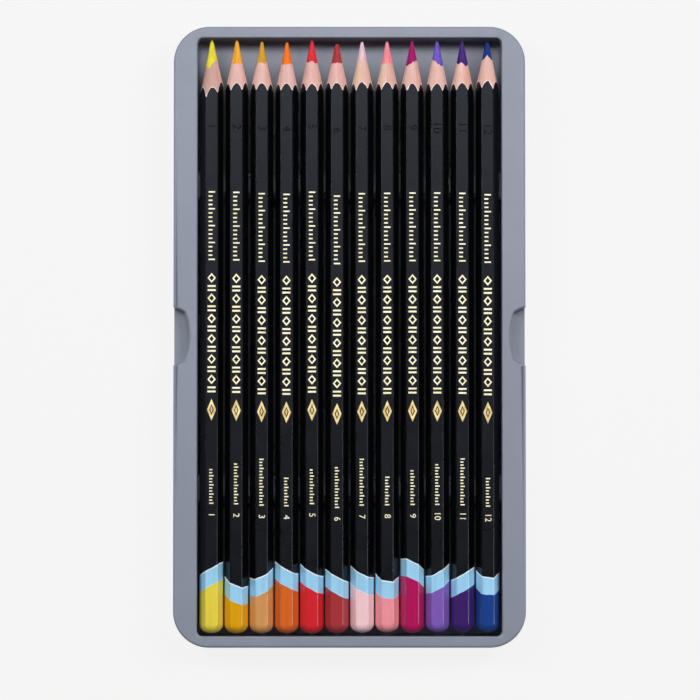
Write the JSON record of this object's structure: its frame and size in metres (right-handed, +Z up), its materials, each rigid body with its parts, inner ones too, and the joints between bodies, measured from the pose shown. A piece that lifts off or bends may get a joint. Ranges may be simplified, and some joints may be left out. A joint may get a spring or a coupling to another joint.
{
  "type": "colored pencil tin",
  "caption": "Slim open tin of sharpened hexagonal colored pencils with dipped ends, lying in a moulded tray with a finger scoop at each side; the tin stands in its own upturned lid.",
  "frame": {"origin": "middle of the lid's outer panel, which the tin rests on", "axes": "+Z up, +Y along the pencils towards their points, +X across the pencils towards the blue end of the row"},
  "size_m": [0.1042, 0.1838, 0.0119],
  "materials": {
    "lid_paint": "satin blue-grey lacquer on tinplate",
    "base_paint": "satin blue-grey lacquer on tinplate",
    "tray_plastic": "satin moulded plastic",
    "casing_wood": "sharpened cedar",
    "barrel_lacquer": "gloss black lacquer",
    "core_01": "waxy pigment core",
    "core_02": "waxy pigment core",
    "core_03": "waxy pigment core",
    "core_04": "waxy pigment core",
    "core_05": "waxy pigment core",
    "core_06": "waxy pigment core",
    "core_07": "waxy pigment core",
    "core_08": "waxy pigment core",
    "core_09": "waxy pigment core",
    "core_10": "waxy pigment core",
    "core_11": "waxy pigment core",
    "core_12": "waxy pigment core",
    "dip_01": "gloss dipped lacquer with a pale blue band",
    "dip_02": "gloss dipped lacquer with a pale blue band",
    "dip_03": "gloss dipped lacquer with a pale blue band",
    "dip_04": "gloss dipped lacquer with a pale blue band",
    "dip_05": "gloss dipped lacquer with a pale blue band",
    "dip_06": "gloss dipped lacquer with a pale blue band",
    "dip_07": "gloss dipped lacquer with a pale blue band",
    "dip_08": "gloss dipped lacquer with a pale blue band",
    "dip_09": "gloss dipped lacquer with a pale blue band",
    "dip_10": "gloss dipped lacquer with a pale blue band",
    "dip_11": "gloss dipped lacquer with a pale blue band",
    "dip_12": "gloss dipped lacquer with a pale blue band"
  },
  "bodies": {
    "lid": {"lid": "lid_paint"},
    "base": {"base": "base_paint"},
    "tray": {"tray": "tray_plastic"},
    "pencil_01": {"pencil_01_casing": "casing_wood", "pencil_01_core": "core_01", "pencil_01_lacquer": "barrel_lacquer", "pencil_01_dip": "dip_01"},
    "pencil_02": {"pencil_02_casing": "casing_wood", "pencil_02_core": "core_02", "pencil_02_lacquer": "barrel_lacquer", "pencil_02_dip": "dip_02"},
    "pencil_03": {"pencil_03_casing": "casing_wood", "pencil_03_core": "core_03", "pencil_03_lacquer": "barrel_lacquer", "pencil_03_dip": "dip_03"},
    "pencil_04": {"pencil_04_casing": "casing_wood", "pencil_04_core": "core_04", "pencil_04_lacquer": "barrel_lacquer", "pencil_04_dip": "dip_04"},
    "pencil_05": {"pencil_05_casing": "casing_wood", "pencil_05_core": "core_05", "pencil_05_lacquer": "barrel_lacquer", "pencil_05_dip": "dip_05"},
    "pencil_06": {"pencil_06_casing": "casing_wood", "pencil_06_core": "core_06", "pencil_06_lacquer": "barrel_lacquer", "pencil_06_dip": "dip_06"},
    "pencil_07": {"pencil_07_casing": "casing_wood", "pencil_07_core": "core_07", "pencil_07_lacquer": "barrel_lacquer", "pencil_07_dip": "dip_07"},
    "pencil_08": {"pencil_08_casing": "casing_wood", "pencil_08_core": "core_08", "pencil_08_lacquer": "barrel_lacquer", "pencil_08_dip": "dip_08"},
    "pencil_09": {"pencil_09_casing": "casing_wood", "pencil_09_core": "core_09", "pencil_09_lacquer": "barrel_lacquer", "pencil_09_dip": "dip_09"},
    "pencil_10": {"pencil_10_casing": "casing_wood", "pencil_10_core": "core_10", "pencil_10_lacquer": "barrel_lacquer", "pencil_10_dip": "dip_10"},
    "pencil_11": {"pencil_11_casing": "casing_wood", "pencil_11_core": "core_11", "pencil_11_lacquer": "barrel_lacquer", "pencil_11_dip": "dip_11"},
    "pencil_12": {"pencil_12_casing": "casing_wood", "pencil_12_core": "core_12", "pencil_12_lacquer": "barrel_lacquer", "pencil_12_dip": "dip_12"}
  },
  "joints": [
    {"name": "base_lift", "type": "slide", "parent": "lid", "child": "base", "axis": [0, 0, 1], "range_m": [0, 0.03]},
    {"name": "tray_lift", "type": "slide", "parent": "base", "child": "tray", "axis": [0, 0, 1], "range_m": [0, 0.03]},
    {"name": "pencil_01_lift", "type": "slide", "parent": "tray", "child": "pencil_01", "axis": [0, 0, 1], "range_m": [0, 0.03]},
    {"name": "pencil_02_lift", "type": "slide", "parent": "tray", "child": "pencil_02", "axis": [0, 0, 1], "range_m": [0, 0.03]},
    {"name": "pencil_03_lift", "type": "slide", "parent": "tray", "child": "pencil_03", "axis": [0, 0, 1], "range_m": [0, 0.03]},
    {"name": "pencil_04_lift", "type": "slide", "parent": "tray", "child": "pencil_04", "axis": [0, 0, 1], "range_m": [0, 0.03]},
    {"name": "pencil_05_lift", "type": "slide", "parent": "tray", "child": "pencil_05", "axis": [0, 0, 1], "range_m": [0, 0.03]},
    {"name": "pencil_06_lift", "type": "slide", "parent": "tray", "child": "pencil_06", "axis": [0, 0, 1], "range_m": [0, 0.03]},
    {"name": "pencil_07_lift", "type": "slide", "parent": "tray", "child": "pencil_07", "axis": [0, 0, 1], "range_m": [0, 0.03]},
    {"name": "pencil_08_lift", "type": "slide", "parent": "tray", "child": "pencil_08", "axis": [0, 0, 1], "range_m": [0, 0.03]},
    {"name": "pencil_09_lift", "type": "slide", "parent": "tray", "child": "pencil_09", "axis": [0, 0, 1], "range_m": [0, 0.03]},
    {"name": "pencil_10_lift", "type": "slide", "parent": "tray", "child": "pencil_10", "axis": [0, 0, 1], "range_m": [0, 0.03]},
    {"name": "pencil_11_lift", "type": "slide", "parent": "tray", "child": "pencil_11", "axis": [0, 0, 1], "range_m": [0, 0.03]},
    {"name": "pencil_12_lift", "type": "slide", "parent": "tray", "child": "pencil_12", "axis": [0, 0, 1], "range_m": [0, 0.03]}
  ]
}
